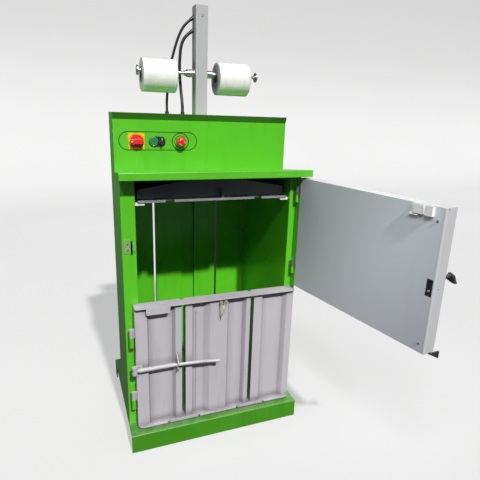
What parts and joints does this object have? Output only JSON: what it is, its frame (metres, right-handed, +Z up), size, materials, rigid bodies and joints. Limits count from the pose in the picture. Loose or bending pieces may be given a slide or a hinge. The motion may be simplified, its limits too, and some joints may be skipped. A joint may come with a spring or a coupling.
{
  "type": "vertical waste baler",
  "caption": "Small upright baler with a pressing platen, an open upper door, a lower gate with a swing bar, a control box, and strap rolls on a mast.",
  "frame": {"origin": "on the floor under the machine, centred between the body's side faces, in the plane of the columns' front faces", "axes": "+X to the machine's right as seen from the front, +Y to its back, +Z up"},
  "size_m": [0.9179, 1.1779, 1.706],
  "materials": {
    "body_green": "semi-gloss powder coat",
    "gate_paint": "semi-gloss light grey powder coat",
    "door_paint": "semi-gloss grey powder coat",
    "mast_paint": "satin light grey powder coat",
    "platen_paint": "satin dark grey paint, scuffed",
    "cylinder_paint": "gloss black enamel",
    "ground_rod": "hard chrome, polished",
    "bright_steel": "turned and zinc plated",
    "nylon": "natural nylon, matt",
    "strap_film": "wound white plastic strap",
    "core_plastic": "grey moulded core",
    "knob_black": "matt black plastic",
    "hose_rubber": "matt black rubber",
    "fitting_black": "moulded black plastic",
    "switch_yellow": "gloss yellow",
    "switch_red": "gloss red",
    "button_green": "gloss green",
    "bare_steel": "bare steel, brushed",
    "lever_paint": "satin grey paint, worn"
  },
  "bodies": {
    "frame": {"base_plate": "body_green", "base_channel": "body_green", "left_column": "body_green", "right_column": "body_green", "chamber_left": "body_green", "chamber_mid": "body_green", "chamber_right": "body_green", "chamber_floor": "body_green", "roof_plate": "body_green", "awning": "body_green", "control_panel": "body_green", "box_cover": "body_green", "frame_screws": "bright_steel", "mast_tube": "mast_paint", "mast_cap": "mast_paint", "cylinder_barrel": "cylinder_paint", "spindle_left": "bright_steel", "spindle_right": "bright_steel", "end_knobs": "bright_steel", "hose_upper": "hose_rubber", "hose_lower": "hose_rubber", "hose_glands": "fitting_black", "power_pack": "cylinder_paint", "keeper": "bright_steel", "door_hinge_seats": "body_green", "gate_hinge_seats": "body_green", "hinge_pins": "bright_steel", "switch_plate": "switch_yellow", "selector_plate": "fitting_black"},
    "ram": {"ram_rod": "ground_rod", "platen": "platen_paint", "platen_webs": "platen_paint", "platen_spine": "platen_paint", "platen_guides": "nylon"},
    "roll_left_turns": {"roll_left": "strap_film", "core_left": "core_plastic"},
    "roll_right_turns": {"roll_right": "strap_film", "core_right": "core_plastic"},
    "door": {"door_shell": "door_paint", "door_liner": "door_paint", "door_hinge_leaves": "bright_steel", "interlock_bracket": "bright_steel", "latch_case": "fitting_black", "door_screws": "bright_steel", "door_hook": "fitting_black"},
    "handle": {"door_handle": "knob_black", "handle_spindle": "bright_steel"},
    "gate": {"gate_left": "gate_paint", "gate_mid": "gate_paint", "gate_right": "gate_paint", "gate_top": "gate_paint", "gate_bottom": "gate_paint", "gate_hinge_leaves": "bare_steel", "lever_boss": "bare_steel", "lever_fork": "bare_steel"},
    "lever": {"lever_bar": "lever_paint"},
    "main_switch": {"switch_knob": "switch_red"},
    "start_button": {"green_button": "button_green"},
    "selector": {"selector_knob": "knob_black"},
    "stop_button": {"estop_button": "switch_red"}
  },
  "joints": [
    {"name": "platen_slide", "type": "slide", "parent": "frame", "child": "ram", "axis": [0, 0, -1], "range_m": [0, 0.47]},
    {"name": "door_hinge", "type": "hinge", "parent": "frame", "child": "door", "pos_m": [0.344, -0.02, 1], "axis": [0, 0, 1], "range_deg": [-100.14, 2]},
    {"name": "handle_turn", "type": "hinge", "parent": "door", "child": "handle", "pos_m": [0.5078, -0.64391, 0.86], "axis": [0.9844, 0.1761, 0], "range_deg": [0, 90]},
    {"name": "gate_hinge", "type": "hinge", "parent": "frame", "child": "gate", "pos_m": [-0.332, -0.03, 0.48], "axis": [0, 0, 1], "range_deg": [-110, 0]},
    {"name": "lever_swing", "type": "hinge", "parent": "gate", "child": "lever", "pos_m": [-0.327, -0.057, 0.351], "axis": [0, 0, 1], "range_deg": [-90, 0]},
    {"name": "roll_left_spin", "type": "hinge", "parent": "frame", "child": "roll_left_turns", "pos_m": [-0.151, 0.23, 1.445], "axis": [1, 0, 0], "continuous": true},
    {"name": "roll_right_spin", "type": "hinge", "parent": "frame", "child": "roll_right_turns", "pos_m": [0.148, 0.23, 1.445], "axis": [1, 0, 0], "continuous": true},
    {"name": "main_switch_turn", "type": "hinge", "parent": "frame", "child": "main_switch", "pos_m": [-0.266, 0.134, 1.201], "axis": [0, 1, 0], "range_deg": [0, 90]},
    {"name": "start_press", "type": "slide", "parent": "frame", "child": "start_button", "axis": [0, 1, 0], "range_m": [0, 0.003], "stiffness_N_per_m": 600},
    {"name": "selector_turn", "type": "hinge", "parent": "frame", "child": "selector", "pos_m": [-0.173, 0.1336, 1.204], "axis": [0, 1, 0], "range_deg": [-45, 45]},
    {"name": "stop_press", "type": "slide", "parent": "frame", "child": "stop_button", "axis": [0, 1, 0], "range_m": [0, 0.004], "stiffness_N_per_m": 800}
  ]
}
